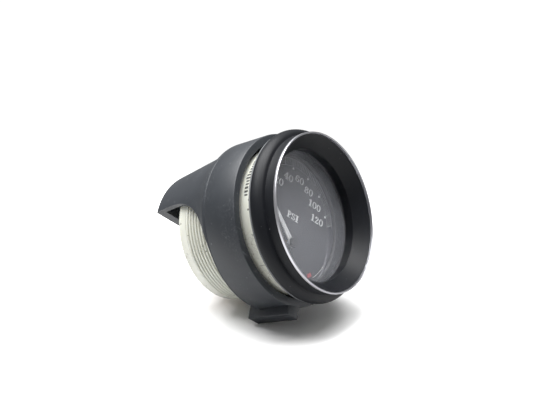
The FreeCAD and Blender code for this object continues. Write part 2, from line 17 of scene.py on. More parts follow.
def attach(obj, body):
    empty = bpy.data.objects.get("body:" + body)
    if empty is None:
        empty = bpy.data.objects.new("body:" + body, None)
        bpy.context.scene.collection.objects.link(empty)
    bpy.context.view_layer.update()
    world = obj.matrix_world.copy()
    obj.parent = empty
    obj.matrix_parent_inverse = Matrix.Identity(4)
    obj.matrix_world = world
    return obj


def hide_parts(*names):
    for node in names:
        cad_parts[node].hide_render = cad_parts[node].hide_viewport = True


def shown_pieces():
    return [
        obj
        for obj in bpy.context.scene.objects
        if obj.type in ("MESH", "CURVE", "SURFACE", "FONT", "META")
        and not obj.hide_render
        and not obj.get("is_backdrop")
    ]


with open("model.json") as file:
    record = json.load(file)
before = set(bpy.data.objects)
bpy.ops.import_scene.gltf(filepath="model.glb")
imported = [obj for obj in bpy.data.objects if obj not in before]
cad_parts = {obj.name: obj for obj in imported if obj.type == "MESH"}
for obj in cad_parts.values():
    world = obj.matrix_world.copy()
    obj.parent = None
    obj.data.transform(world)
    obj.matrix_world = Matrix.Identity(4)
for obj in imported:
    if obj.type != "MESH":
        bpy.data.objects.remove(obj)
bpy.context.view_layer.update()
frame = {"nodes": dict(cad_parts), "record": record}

random.seed(7)

# %% [markdown]
# ## Units and main sizes
# The CAD frame is in metres with the gauge's axis along Y: the dial faces -Y, +X is its right
# and +Z its top. Sizes on a gauge are a few millimetres, so every helper here takes
# millimetres and scales them once. The sizes named here are the main ones. Others stand beside
# the piece that they belong to.

# %% Units and main sizes
MM = 0.001
RIM_FRONT, RIM_REAR = -9.3, -8.4
RIM_R, MOUTH_R = 27.5, 26.85        # the rim's outside, and the wide end of the cone inside it
FLANGE_REAR = -0.6
PANEL_HOLE_R = 26.2
LENS_FRONT, LENS_REAR, LENS_R = 0.3, 1.5, 24.2
DIAL_FRONT = 6.4
PIVOT_Z, ZERO_ANGLE, SWEEP = -9.0, 141.3, 102.6
CASE_END, WALL_FRONT, WALL_REAR = 37.5, 33.5, 35.5
COLLAR_R, COLLAR_BORE_R = 30.4, 25.4
COLLAR_FRONT, COLLAR_BACK = 5.6, 19.1
CUT_Z, CUT_FILLET = -0.8, 21.0
STEM_Z = -12.0


def mm(x, y, z):
    return Vector((x, y, z)) * MM


# %% [markdown]
# ## Small helpers for node trees
# A finish is a tree of shader nodes. Adding a node takes three steps: make it, set its options,
# and fill or link its sockets. One helper does all three, so each finish below reads as a list
# of what it is made of. Shorter ones do sums, give coordinates and noise, and make masks.

# %% Node helpers
def add(tree, kind, options=None, **sockets):
    made = tree.nodes.new(kind)
    for key, value in (options or {}).items():
        setattr(made, key, value)
    for key, value in sockets.items():
        socket = made.inputs[key.replace("_", " ")]
        if isinstance(value, bpy.types.NodeSocket):
            tree.links.new(value, socket)
        else:
            socket.default_value = value
    return made


def calc(tree, operation, *values, clamp=False):
    made = tree.nodes.new("ShaderNodeMath")
    made.operation = operation
    made.use_clamp = clamp
    for socket, value in zip(made.inputs, values):
        if isinstance(value, bpy.types.NodeSocket):
            tree.links.new(value, socket)
        else:
            socket.default_value = value
    return made.outputs[0]


def from_axis(tree, a, b):
    """How far a point is from the line where its values a and b are both nought."""
    squares = calc(tree, "ADD", calc(tree, "MULTIPLY", a, a), calc(tree, "MULTIPLY", b, b))
    return calc(tree, "SQRT", squares)


def local(tree):
    return add(tree, "ShaderNodeTexCoord").outputs["Object"]


def noise(tree, where, scale, detail, **more):
    return add(tree, "ShaderNodeTexNoise", Vector=where, Scale=scale, Detail=detail, **more).outputs["Fac"]


def ranged(tree, value, low, high, **limits):
    """Spread a value from nought to one, or from the limits given, over low to high."""
    made = add(tree, "ShaderNodeMapRange", Value=value, To_Min=low, To_Max=high, **limits)
    return made.outputs["Result"]


def above(tree, value, level, gain):
    """Nought up to a level, then rising to one as steeply as the gain says."""
    return calc(tree, "MULTIPLY", calc(tree, "SUBTRACT", value, level), gain, clamp=True)


def effect(name, inputs, outputs):
    """An empty shader node group with named sockets: (tree, its inputs, its output node)."""
    tree = bpy.data.node_groups.new(name, "ShaderNodeTree")
    for label, value in inputs.items():
        socket = tree.interface.new_socket(label, in_out="INPUT", socket_type="NodeSocketFloat")
        socket.default_value = value
    for label in outputs:
        tree.interface.new_socket(label, in_out="OUTPUT", socket_type="NodeSocketFloat")
    entry, leave = tree.nodes.new("NodeGroupInput"), tree.nodes.new("NodeGroupOutput")
    return tree, entry.outputs, leave


def place(tree, group, **values):
    """Put an effect group in a material, with its own values, and return its outputs."""
    made = tree.nodes.new("ShaderNodeGroup")
    made.node_tree = group
    for key, value in values.items():
        made.inputs[key.replace("_", " ")].default_value = value
    return made.outputs


print("node helpers ready")

# %% [markdown]
# ## Effect: moulded grain
# Moulded plastic is never quite even. The mould's fine spark-eroded grain breaks up its
# highlight, and the melt cools in soft patches. Image textures could show this, but noise in
# object space needs no unwrapping and has no seams. The group gives a fine height and a slow
# mottle.

# %% Effect: moulded grain
grain, g_in, g_out = effect("moulded_grain", {"Fineness": 2500.0}, ["Height", "Mottle"])
here = local(grain)
coarse = calc(grain, "MULTIPLY", g_in["Fineness"], 0.05)
grain.links.new(noise(grain, here, g_in["Fineness"], 3.0), g_out.inputs["Height"])
grain.links.new(noise(grain, here, coarse, 2.0), g_out.inputs["Mottle"])
print("effect:", grain.name)

# %% [markdown]
# ## Effect: dust specks
# Dark plastic shows every speck of dust. Cells of a Voronoi texture give scattered points, and
# each cell's own random colour gives each speck its size, raised to a power so that most are tiny. A slow
# noise gathers them in patches.

# %% Effect: dust specks
dust, d_in, d_out = effect("dust_specks", {"Cells": 700.0, "Amount": 0.25}, ["Mask"])
here = local(dust)
cells = add(dust, "ShaderNodeTexVoronoi", Vector=here, Scale=d_in["Cells"])
luck = add(dust, "ShaderNodeSeparateColor", Color=cells.outputs["Color"]).outputs["Red"]
reach = calc(dust, "MULTIPLY", calc(dust, "POWER", luck, 5.0), d_in["Amount"])
speck = above(dust, reach, cells.outputs["Distance"], 14.0)
patchy = above(dust, noise(dust, here, 120.0, 1.0), 0.38, 5.0)
dust.links.new(calc(dust, "MULTIPLY", speck, patchy), d_out.inputs["Mask"])
print("effect:", dust.name)

# %% [markdown]
# ## Effect: hair scratches
# Handling leaves fine straight scratches. Noise stretched far along one direction makes long
# islands, and the thin line where its value crosses one half is a hair. Two directions are
# joined, and a slow patch decides where scratches gather.

# %% Effect: hair scratches
hairs, h_in, h_out = effect("hair_scratches", {"Fineness": 60.0, "Width": 0.006}, ["Mask"])
here = local(hairs)
lines = []
for turn in ((0.4, 0.9, 0.3), (1.9, 0.2, 1.1)):
    stretched = add(hairs, "ShaderNodeMapping", Vector=here, Rotation=turn, Scale=(1.0, 14.0, 14.0))
    swirl = noise(hairs, stretched.outputs["Vector"], h_in["Fineness"], 0.0)
    off = calc(hairs, "ABSOLUTE", calc(hairs, "SUBTRACT", swirl, 0.5))
    lines.append(calc(hairs, "SUBTRACT", 1.0, calc(hairs, "DIVIDE", off, h_in["Width"]), clamp=True))
patchy = above(hairs, noise(hairs, here, 90.0, 1.0), 0.56, 9.0)
both = calc(hairs, "MAXIMUM", lines[0], lines[1])
hairs.links.new(calc(hairs, "MULTIPLY", both, patchy), h_out.inputs["Mask"])
print("effect:", hairs.name)

# %% [markdown]
# ## Effect: turning marks
# The bezel, its rim and the brass fittings are turned on a lathe, which leaves very fine rings
# about the axis. A one-dimensional noise read along the distance from the axis and along the
# axis itself draws rings on faces and cylinders alike.

# %% Effect: turning marks
turning, t_in, t_out = effect("turning_marks", {"Fineness": 4000.0, "Axis Z": 0.0}, ["Height"])
split = add(turning, "ShaderNodeSeparateXYZ", Vector=local(turning))
lift = calc(turning, "SUBTRACT", split.outputs["Z"], t_in["Axis Z"])
radial = from_axis(turning, split.outputs["X"], lift)
along = calc(turning, "ADD", radial, calc(turning, "MULTIPLY", split.outputs["Y"], 0.83))
rings = add(turning, "ShaderNodeTexNoise", {"noise_dimensions": "1D"},
            W=calc(turning, "MULTIPLY", along, t_in["Fineness"]), Scale=1.0, Detail=2.0)
turning.links.new(rings.outputs["Fac"], t_out.inputs["Height"])
print("effect:", turning.name)

# %% [markdown]
# ## Effect: rubbed edges
# Edges are touched first, so black parts turn a little paler there. The Bevel node gives the
# normal that a rounded edge would have, and where it differs from the true normal there is an
# edge. A noise breaks the line up.

# %% Effect: rubbed edges
rubbed, r_in, r_out = effect("rubbed_edges", {"Reach": 0.0004}, ["Mask"])
soft = add(rubbed, "ShaderNodeBevel", {"samples": 4}, Radius=r_in["Reach"])
true_normal = add(rubbed, "ShaderNodeNewGeometry").outputs["Normal"]
agree = add(rubbed, "ShaderNodeVectorMath", {"operation": "DOT_PRODUCT"})
rubbed.links.new(soft.outputs["Normal"], agree.inputs[0])
rubbed.links.new(true_normal, agree.inputs[1])
edge = above(rubbed, 1.0, agree.outputs["Value"], 4.0)
broken = above(rubbed, noise(rubbed, local(rubbed), 260.0, 3.0), 0.40, 4.0)
rubbed.links.new(calc(rubbed, "MULTIPLY", edge, broken), r_out.inputs["Mask"])
print("effect:", rubbed.name)

# %% [markdown]
# ## How a finish is put together
# Every finish starts from one Principled shader with its constants on its own sockets. Then
# masks blend its colour, a value shifts its roughness, and heights feed one Bump node. The last
# helper makes a surface clear where a value says so. They keep each material to a few lines.

# %% Finish helpers
def finish_of(name, colour, roughness, **constants):
    made = bpy.data.materials.new(name)
    made.use_nodes = True
    tree = made.node_tree
    shader = tree.nodes["Principled BSDF"]
    shader.inputs["Base Color"].default_value = (*colour, 1.0)
    shader.inputs["Roughness"].default_value = roughness
    for key, value in constants.items():
        shader.inputs[key.replace("_", " ")].default_value = value
    return made, tree, shader


def tint(tree, shader, start, layers):
    """Base colour: start, then each (mask, colour, strength) laid over the one before."""
    colour = None
    for mask, over, strength in layers:
        mix = tree.nodes.new("ShaderNodeMix")
        mix.data_type = "RGBA"
        tree.links.new(calc(tree, "MULTIPLY", mask, strength, clamp=True), mix.inputs["Factor"])
        if colour is None:
            mix.inputs["A"].default_value = (*start, 1.0)
        else:
            tree.links.new(colour, mix.inputs["A"])
        mix.inputs["B"].default_value = (*over, 1.0)
        colour = mix.outputs["Result"]
    tree.links.new(colour, shader.inputs["Base Color"])


def vary(tree, shader, value, low, high):
    """Roughness runs from low to high as a 0 to 1 value does."""
    tree.links.new(ranged(tree, value, low, high), shader.inputs["Roughness"])


def raise_up(tree, shader, height, strength, distance):
    bump = add(tree, "ShaderNodeBump", Height=height, Strength=strength, Distance=distance * MM)
    tree.links.new(bump.outputs["Normal"], shader.inputs["Normal"])


def clear_where(tree, shader, share):
    """The surface is the shader's where share is nought, and clear where it is one."""
    clear = tree.nodes.new("ShaderNodeBsdfTransparent")
    pick = tree.nodes.new("ShaderNodeMixShader")
    tree.links.new(share, pick.inputs[0])
    tree.links.new(shader.outputs["BSDF"], pick.inputs[1])
    tree.links.new(clear.outputs["BSDF"], pick.inputs[2])
    tree.links.new(pick.outputs["Shader"], tree.nodes["Material Output"].inputs["Surface"])


print("finish helpers ready")

# %% [markdown]
# ## Finish: black bezel
# The bezel is satin black over metal, so it has a soft, slightly cool highlight and fine rings
# from the lathe. A thin coat with its own roughness gives the second, broader sheen.

# %% Finish: black bezel
def black_metal(name, colour, low, high):
    made, tree, shader = finish_of(name, colour, low, Coat_Weight=0.04, Coat_Roughness=0.40,
                                   Specular_IOR_Level=0.15)
    rings = place(tree, turning, Fineness=5200.0)["Height"]
    grain_here = place(tree, grain, Fineness=3200.0)
    specks = place(tree, dust, Cells=900.0, Amount=0.20)["Mask"]
    worn = place(tree, rubbed, Reach=0.00035)["Mask"]
    tint(tree, shader, colour, [(grain_here["Mottle"], [c * 1.5 for c in colour], 0.6),
                                (worn, (0.05, 0.05, 0.055), 0.35), (specks, (0.30, 0.30, 0.31), 0.35)])
    vary(tree, shader, grain_here["Mottle"], low, high)
    raise_up(tree, shader, rings, 0.10, 0.02)
    return made


bezel_black = black_metal("bezel_black", (0.0045, 0.0052, 0.0070), 0.40, 0.52)
print("finish:", bezel_black.name)

# %% [markdown]
# ## Finish: bright rim
# Only the bezel's front edge is bare, bright metal. It is a metal with a low roughness that the
# turning marks shift up and down, so that its highlight breaks into fine threads.

# %% Finish: bright rim
rim_silver = (0.50, 0.50, 0.53)
bright_rim, tree, shader = finish_of("bright_rim", rim_silver, 0.3, Metallic=1.0)
rings = place(tree, turning, Fineness=6500.0)["Height"]
scuffs = place(tree, hairs, Fineness=80.0, Width=0.01)["Mask"]
tint(tree, shader, rim_silver, [(scuffs, (0.25, 0.25, 0.26), 0.7)])
vary(tree, shader, rings, 0.24, 0.44)
raise_up(tree, shader, rings, 0.15, 0.02)
print("finish:", bright_rim.name)

# %% [markdown]
# ## Finish: collar plastic
# The collar and hood are one moulding in black nylon. Its grain is coarser than the bezel's and
# its highlight broader. It has been handled, so it carries dust, pale scratches and rubbed
# edges. The same recipe, in other values, makes the lamp holder and the pointer's cap.

# %% Finish: collar plastic
def black_plastic(name, colour, low, high, dusty=0.24, fineness=2100.0, depth=0.05):
    made, tree, shader = finish_of(name, colour, low, Specular_IOR_Level=0.40)
    grain_here = place(tree, grain, Fineness=fineness)
    specks = place(tree, dust, Cells=950.0, Amount=dusty)["Mask"]
    lines_here = place(tree, hairs, Fineness=55.0, Width=0.008)["Mask"]
    worn = place(tree, rubbed, Reach=0.0005)["Mask"]
    tint(tree, shader, colour, [(grain_here["Mottle"], [c * 1.7 for c in colour], 0.55),
                                (worn, (0.13, 0.135, 0.15), 0.5), (lines_here, (0.20, 0.21, 0.22), 0.45),
                                (specks, (0.32, 0.32, 0.33), 0.4)])
    vary(tree, shader, grain_here["Mottle"], low, high)
    raise_up(tree, shader, grain_here["Height"], 0.35, depth)
    return made


collar_plastic = black_plastic("collar_plastic", (0.0160, 0.0186, 0.0226), 0.40, 0.54)
inner_plastic = black_plastic("inner_plastic", (0.014, 0.014, 0.016), 0.50, 0.62, dusty=0.1)
cap_plastic = black_plastic("cap_plastic", (0.010, 0.010, 0.011), 0.32, 0.40, dusty=0.05)
rubber = black_plastic("gasket_rubber", (0.10, 0.105, 0.11), 0.70, 0.85, dusty=0.2, depth=0.08)
print("finishes:", collar_plastic.name, inner_plastic.name, cap_plastic.name, rubber.name)

# %% [markdown]
# ## Finish: milky case
# The case is moulded in natural white plastic that lets a little light in. Some subsurface
# scattering softens its shadows, and a coat gives the gloss. Grime settles in the slow patches.
# The thread's grooves, which are nearer the axis than its crests are, carry painted shade.

# %% Finish: milky case
GROOVE_R, GROOVES_END = 25.15, 34.0
milky_white = (0.66, 0.67, 0.61)
case_white, tree, shader = finish_of("case_white", milky_white, 0.30, Coat_Weight=0.4, Coat_Roughness=0.12,
                                     Subsurface_Weight=0.25, Subsurface_Scale=0.002)
shader.inputs["Subsurface Radius"].default_value = (1.0, 0.9, 0.7)
grain_here = place(tree, grain, Fineness=1400.0)
grime = place(tree, dust, Cells=820.0, Amount=0.42)["Mask"]
crazing = place(tree, hairs, Fineness=44.0, Width=0.016)["Mask"]
split = add(tree, "ShaderNodeSeparateXYZ", Vector=local(tree))
# Painted shade: the grooves between the thread's crests are coloured a darker brown-grey.
deep = above(tree, GROOVE_R * MM, from_axis(tree, split.outputs["X"], split.outputs["Z"]), 2500.0)
groove_shade = calc(tree, "MULTIPLY", deep, calc(tree, "LESS_THAN", split.outputs["Y"], GROOVES_END * MM))
groove_shade = calc(tree, "MULTIPLY", groove_shade, calc(tree, "ADD", 0.3, grain_here["Mottle"], clamp=True))
tint(tree, shader, milky_white, [(groove_shade, (0.24, 0.235, 0.185), 0.75),
                                 (grain_here["Mottle"], (0.46, 0.46, 0.39), 0.7),
                                 (crazing, (0.14, 0.13, 0.10), 0.8), (grime, (0.06, 0.055, 0.045), 0.8)])
vary(tree, shader, grain_here["Mottle"], 0.22, 0.42)
raise_up(tree, shader, grain_here["Height"], 0.12, 0.05)
print("finish:", case_white.name)

# %% [markdown]
# ## Finish: clear lens
# Glass needs its Transmission Weight at one and nothing else fancy. Light that reaches the dial
# through it would be lost as a caustic, so shadow rays alone meet a transparent shader: the
# dial stays lit and the glass still reflects the room.

# %% Finish: clear lens
def clear_glass(name, colour, ior):
    made, tree, shader = finish_of(name, colour, 0.0, Transmission_Weight=1.0, IOR=ior)
    lines_here = place(tree, hairs, Fineness=34.0, Width=0.004)["Mask"]
    vary(tree, shader, lines_here, 0.0, 0.12)
    clear_where(tree, shader, tree.nodes.new("ShaderNodeLightPath").outputs["Is Shadow Ray"])
    return made


lens_glass = clear_glass("lens_glass", (0.98, 0.99, 0.99), 1.52)
bulb_glass = clear_glass("bulb_glass", (0.99, 0.98, 0.95), 1.5)
print("finishes:", lens_glass.name, bulb_glass.name)

# %% [markdown]
# ## Finish: the dust and reflection film on the lens
# An old lens is never quite clear: fine dust and old wiping marks turn what is behind it grey.
# The film is also a painted reflection: an even pale veil over the whole lens stands in for the
# room's glare on the glass. Mixing that into the glass would spoil it, so the film has its own
# material: pale, rough and mostly see-through. Its Alpha rises where a slow noise says that dust
# has settled.

# %% Finish: the dust and reflection film on the lens
dust_and_reflection_film, tree, shader = finish_of("dust_and_reflection_film", (0.62, 0.64, 0.70), 0.7, Specular_IOR_Level=0.2)
cloud = noise(tree, local(tree), 75.0, 2.0, Distortion=0.6)
wiped = place(tree, hairs, Fineness=42.0, Width=0.006)["Mask"]
specks = place(tree, dust, Cells=800.0, Amount=0.24)["Mask"]
# Painted reflection: a pale veil of at least this alpha lies over the whole lens, thicker where dust
# gathers.
veil = ranged(tree, cloud, 0.065, 0.095, From_Min=0.25, From_Max=0.75)
marks = calc(tree, "ADD", calc(tree, "MULTIPLY", wiped, 0.05), calc(tree, "MULTIPLY", specks, 0.16))
tree.links.new(calc(tree, "ADD", veil, marks, clamp=True), shader.inputs["Alpha"])
print("finish:", dust_and_reflection_film.name)

# %% [markdown]
# ## Finish: dial and its print
# The dial is matt black paint on a thin plate and its marks are screen-printed, so they are
# flat, slightly raised and never quite opaque. The print varies with a fine grain for that.

# %% Finish: dial and its print
def printed(name, colour, shade, roughness):
    made, tree, shader = finish_of(name, colour, roughness)
    grain_here = place(tree, grain, Fineness=5200.0)
    tint(tree, shader, colour, [(grain_here["Height"], shade, 0.5)])
    vary(tree, shader, grain_here["Mottle"], roughness - 0.08, roughness + 0.08)
    raise_up(tree, shader, grain_here["Height"], 0.10, 0.02)
    return made


dial_black = printed("dial_black", (0.036, 0.036, 0.044), (0.050, 0.050, 0.060), 0.62)
ink_white = printed("ink_white", (0.86, 0.86, 0.86), (0.70, 0.70, 0.70), 0.5)
ink_grey = printed("ink_grey", (0.26, 0.26, 0.27), (0.20, 0.20, 0.21), 0.5)
ink_red = printed("ink_red", (0.42, 0.045, 0.055), (0.26, 0.03, 0.035), 0.5)
ink_black = printed("ink_black", (0.02, 0.02, 0.02), (0.16, 0.16, 0.15), 0.55)
pointer_paint = printed("pointer_paint", (0.70, 0.70, 0.71), (0.60, 0.60, 0.62), 0.36)
print("finishes:", dial_black.name, ink_white.name, ink_grey.name, ink_red.name, pointer_paint.name)

# %% [markdown]
# ## Finish: brass, steel and bronze
# The inlet stem, nut and movement are bare metal. Each takes the turning marks and a slow
# mottle that stands for handling and oxide, in its own colour.

# %% Finish: brass, steel and bronze
def bare_metal(name, colour, dull, low, high, axis_z=0.0):
    made, tree, shader = finish_of(name, colour, low, Metallic=1.0)
    rings = place(tree, turning, Fineness=3600.0, Axis_Z=axis_z)["Height"]
    grain_here = place(tree, grain, Fineness=2600.0)
    lines_here = place(tree, hairs, Fineness=70.0, Width=0.012)["Mask"]
    tint(tree, shader, colour, [(grain_here["Mottle"], dull, 0.6),
                                (lines_here, [c * 0.5 for c in colour], 0.5)])
    vary(tree, shader, grain_here["Mottle"], low, high)
    raise_up(tree, shader, rings, 0.20, 0.03)
    return made


stem_brass = bare_metal("stem_brass", (0.72, 0.52, 0.25), (0.40, 0.27, 0.12), 0.20, 0.42, STEM_Z * MM)
movement_brass = bare_metal("movement_brass", (0.76, 0.57, 0.29), (0.55, 0.38, 0.18), 0.22, 0.38)
movement_steel = bare_metal("movement_steel", (0.58, 0.58, 0.60), (0.36, 0.36, 0.37), 0.18, 0.34)
tube_bronze = bare_metal("tube_bronze", (0.62, 0.38, 0.20), (0.42, 0.24, 0.12), 0.26, 0.42)
zinc = bare_metal("zinc_plate", (0.64, 0.65, 0.67), (0.42, 0.42, 0.42), 0.28, 0.46, STEM_Z * MM)
print("finishes:", stem_brass.name, movement_brass.name, movement_steel.name, tube_bronze.name, zinc.name)

# %% [markdown]
# ## Give the CAD parts their finishes
# The parts inside the case and behind it keep their CAD shape. Each part's slot in the packed
# record says what it is made of, so one table from slot to finish dresses them all.

# %% Finishes for the CAD parts
finish_for_slot = {
    "black_anodised": bezel_black, "bright_rim": bright_rim, "grey_gasket": rubber,
    "black_rubber": inner_plastic, "clear_glass": lens_glass, "black_plastic_inner": inner_plastic,
    "dial_black": dial_black, "pointer_white": pointer_paint, "movement_brass": movement_brass,
    "movement_steel": movement_steel, "tube_bronze": tube_bronze, "socket_brass": stem_brass,
    "case_white": case_white, "zinc_steel": zinc, "collar_black": collar_plastic,
}
for part in frame["record"]["subparts"]:
    thing = frame["nodes"][part["node"]]
    thing.data.materials.clear()
    thing.data.materials.append(finish_for_slot[part["material_slot"]])
frame["nodes"]["pointer_cap"].data.materials[0] = cap_plastic
frame["nodes"]["lamp_bulb"].data.materials[0] = bulb_glass

# %% [markdown]
# ## Mesh helpers: turned parts
# Nearly everything here is turned or moulded round. An outline of (radius, depth, corner
# radius) points says what a maker's drawing would: sharp corners first, then how much each is
# broken. One helper rounds the corners, and another spins the outline into rings of faces, which
# are quads except at the axis and so shade cleanly. The rest join rows of points, put a mesh in
# the scene and break its sharp edges.

# %% Mesh helpers: turned parts
WELD = 1e-7                     # metres: points nearer than this are one point
ON_AXIS = 1e-6                  # millimetres: a radius under this is nought
CORNER_SHARE = 0.48             # how much of an edge one rounded corner may use


def rounded(corners, steps=5):
    out = []
    for i, (r, y, soft_by) in enumerate(corners):
        corner = Vector((r, y))
        back = Vector(corners[i - 1][:2]) - corner
        ahead = Vector(corners[(i + 1) % len(corners)][:2]) - corner
        if soft_by <= 0:
            out.append(corner)
            continue
        cut = soft_by / math.tan(back.angle(ahead) / 2)
        start = corner + back.normalized() * min(cut, back.length * CORNER_SHARE)
        end = corner + ahead.normalized() * min(cut, ahead.length * CORNER_SHARE)
        for k in range(steps + 1):
            t = k / steps
            out.append(start * (1 - t) ** 2 + corner * 2 * t * (1 - t) + end * t * t)
    return [(p.x, p.y) for p in out]


def show(name, data):
    """Put a mesh, light or camera in the scene."""
    made = bpy.data.objects.new(name, data)
    bpy.context.scene.collection.objects.link(made)
    return made


def join_rows(work, rows, closed=True):
    """Quads between each row of points and the next; closed joins a row's two ends as well."""
    for a, b in zip(rows, rows[1:]):
        for k in range(len(a) if closed else len(a) - 1):
            j = (k + 1) % len(a)
            work.faces.new((a[k], a[j], b[j], b[k]))


def capped_rows(work, rows):
    join_rows(work, rows)
    work.faces.new(rows[0][::-1])
    work.faces.new(rows[-1])


def soften(made, width, segments, over_angle):
    bevel = made.modifiers.new("soften", "BEVEL")
    bevel.width = width * MM
    bevel.segments = segments
    bevel.limit_method = "ANGLE"
    bevel.angle_limit = math.radians(over_angle)


def mesh_of(name, work, finish):
    bmesh.ops.recalc_face_normals(work, faces=work.faces)
    mesh = bpy.data.meshes.new(name)
    work.to_mesh(mesh)
    work.free()
    mesh.materials.append(finish)
    return mesh


def from_bmesh(name, work, finish, body="gauge_body", sharp=32):
    bmesh.ops.remove_doubles(work, verts=work.verts, dist=WELD)
    mesh = mesh_of(name, work, finish)
    mesh.polygons.foreach_set("use_smooth", [True] * len(mesh.polygons))
    mesh.set_sharp_from_angle(angle=math.radians(sharp))
    made = show(name, mesh)
    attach(made, body)
    return made


def turned(name, outline, finish, body="gauge_body", z=0.0, segments=180, sharp=32):
    work = bmesh.new()
    rows = []
    for k in range(segments):
        a = 2 * math.pi * k / segments
        rows.append([work.verts.new(mm(r * math.cos(a), y, z + r * math.sin(a))) for r, y in outline])
    for k in range(segments):
        row, following = rows[k], rows[(k + 1) % segments]
        for i in range(len(outline)):
            j = (i + 1) % len(outline)
            if outline[i][0] < ON_AXIS and outline[j][0] < ON_AXIS:
                continue
            work.faces.new((row[i], row[j], following[j], following[i]))
    bmesh.ops.dissolve_degenerate(work, dist=WELD, edges=work.edges)
    return from_bmesh(name, work, finish, body, sharp)


print("mesh helpers ready")

# %% [markdown]
# ## The bezel
# The bezel is one turned ring: a plain tube in front, a rounded bead that presses on the panel
# behind it, and a cone inside that leads the eye down to the dial. It could be cut from a
# cylinder with booleans, but one outline spun round gives every fillet at once.

# %% The bezel
BEAD_CENTRE_R, BEAD_CENTRE_Y, BEAD_HIGH, BEAD_DEPTH = 27.6, -1.7, 2.4, 3.2
tube = [(MOUTH_R, RIM_REAR), (27.40, RIM_REAR), (27.40, -5.30), (27.46, -5.02)]
bead = [(BEAD_CENTRE_R + BEAD_HIGH * math.cos(math.radians(a)),
         BEAD_CENTRE_Y + BEAD_DEPTH * math.sin(math.radians(a))) for a in range(-84, 1, 6)]
bead += [(29.97, -1.30), (29.85, -0.98), (29.60, -0.72), (29.30, -0.61), (29.00, FLANGE_REAR)]
inside = rounded([(26.25, FLANGE_REAR, 0.1), (26.25, -2.80, 0.1), (24.30, -2.80, 0.1), (24.30, -0.10, 0.1),
                  (23.40, -0.10, 0.05), (22.90, -3.50, 0.25), (MOUTH_R, RIM_REAR, 0.0)])[:-1]
bezel = turned("bezel_shell", tube + bead + inside, bezel_black, sharp=40)
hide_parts("bezel")
rim = turned("rim_edge", rounded([
    (RIM_R, RIM_REAR, 0.05), (RIM_R, RIM_FRONT, 0.24), (26.95, RIM_FRONT, 0.16),
    (MOUTH_R, RIM_REAR, 0.05)]), bright_rim)
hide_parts("rim_ring")
gasket = turned("gasket_ring", rounded([
    (29.60, FLANGE_REAR, 0.15), (29.60, 0.0, 0.15), (26.30, 0.0, 0.1),
    (26.30, FLANGE_REAR, 0.1)]), rubber)
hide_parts("panel_gasket")
print("bezel faces:", len(bezel.data.polygons), "rim faces:", len(rim.data.polygons))

# %% [markdown]
# ## The lens
# The lens is a flat glass disc with a ground edge. It is remade only to have a rounder edge than
# the CAD mesh: a faceted edge shows as a dotted line once it is glass. Dust lies on it as a film
# of its own, a hair's breadth in front, so that the glass itself can stay clear. The same film is
# also a painted reflection: its even pale veil stands in for the glare that greys the dial.

# %% The lens
lens = turned("lens_disc", rounded([
    (0.0, LENS_FRONT, 0.0), (LENS_R, LENS_FRONT, 0.25), (LENS_R, LENS_REAR, 0.15),
    (0.0, LENS_REAR, 0.0)]), lens_glass)
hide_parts("lens")
# The film in front of the lens is dust and a painted reflection.
haze = turned("lens_film_dust_and_reflection", [(0.0, 0.27), (23.35, 0.27), (23.35, 0.29), (0.0, 0.29)], dust_and_reflection_film)
print("lens faces:", len(lens.data.polygons))

# %% [markdown]
# ## A pen for the dial's figures
# The figures are bold with thin joins, as a broad pen writes them: strokes are thick where they
# run up and down, and thin where they run across. So each figure is a line, and the pen turns
# it into a ribbon whose width follows its direction. A font could be loaded, but the built-in
# one has even strokes and would look too plain.

# %% A pen for the dial's figures
THICK, THIN = 0.125, 0.055
WIDEN = 1.45                    # the figures are broad: one advance is nearly their height


def smooth_line(points, steps=6):
    """A Catmull-Rom curve through (x, z) points."""
    p = [Vector(points[0])] + [Vector(q) for q in points] + [Vector(points[-1])]
    out = []
    for a, b, c, d in zip(p, p[1:], p[2:], p[3:]):
        for k in range(steps):
            t = k / steps
            out.append(((b * 2) + (c - a) * t + (a * 2 - b * 5 + c * 4 - d) * t * t
                        + (b * 3 - a - c * 3 + d) * t ** 3) / 2)
    return out + [p[-1]]


def oval(cx, cz, rx, rz, start=0, end=360, steps=32):
    angles = [math.radians(start + (end - start) * k / steps) for k in range(steps + 1)]
    return [Vector((cx + rx * math.cos(a), cz + rz * math.sin(a))) for a in angles]


def ribbon(line, thick=THICK, thin=THIN):
    """Quads along a line; each is a list of four (x, z) corners."""
    sides = []
    for i, point in enumerate(line):
        along = (line[min(i + 1, len(line) - 1)] - line[max(i - 1, 0)]).normalized()
        half = (thin + (thick - thin) * abs(along.y) ** 1.5) / 2
        across = Vector((-along.y, along.x)) * half
        sides.append((point + across, point - across))
    return [[a[0], b[0], b[1], a[1]] for a, b in zip(sides, sides[1:])]


def bar(x0, z0, x1, z1):
    return [[Vector((x0, z0)), Vector((x1, z0)), Vector((x1, z1)), Vector((x0, z1))]]


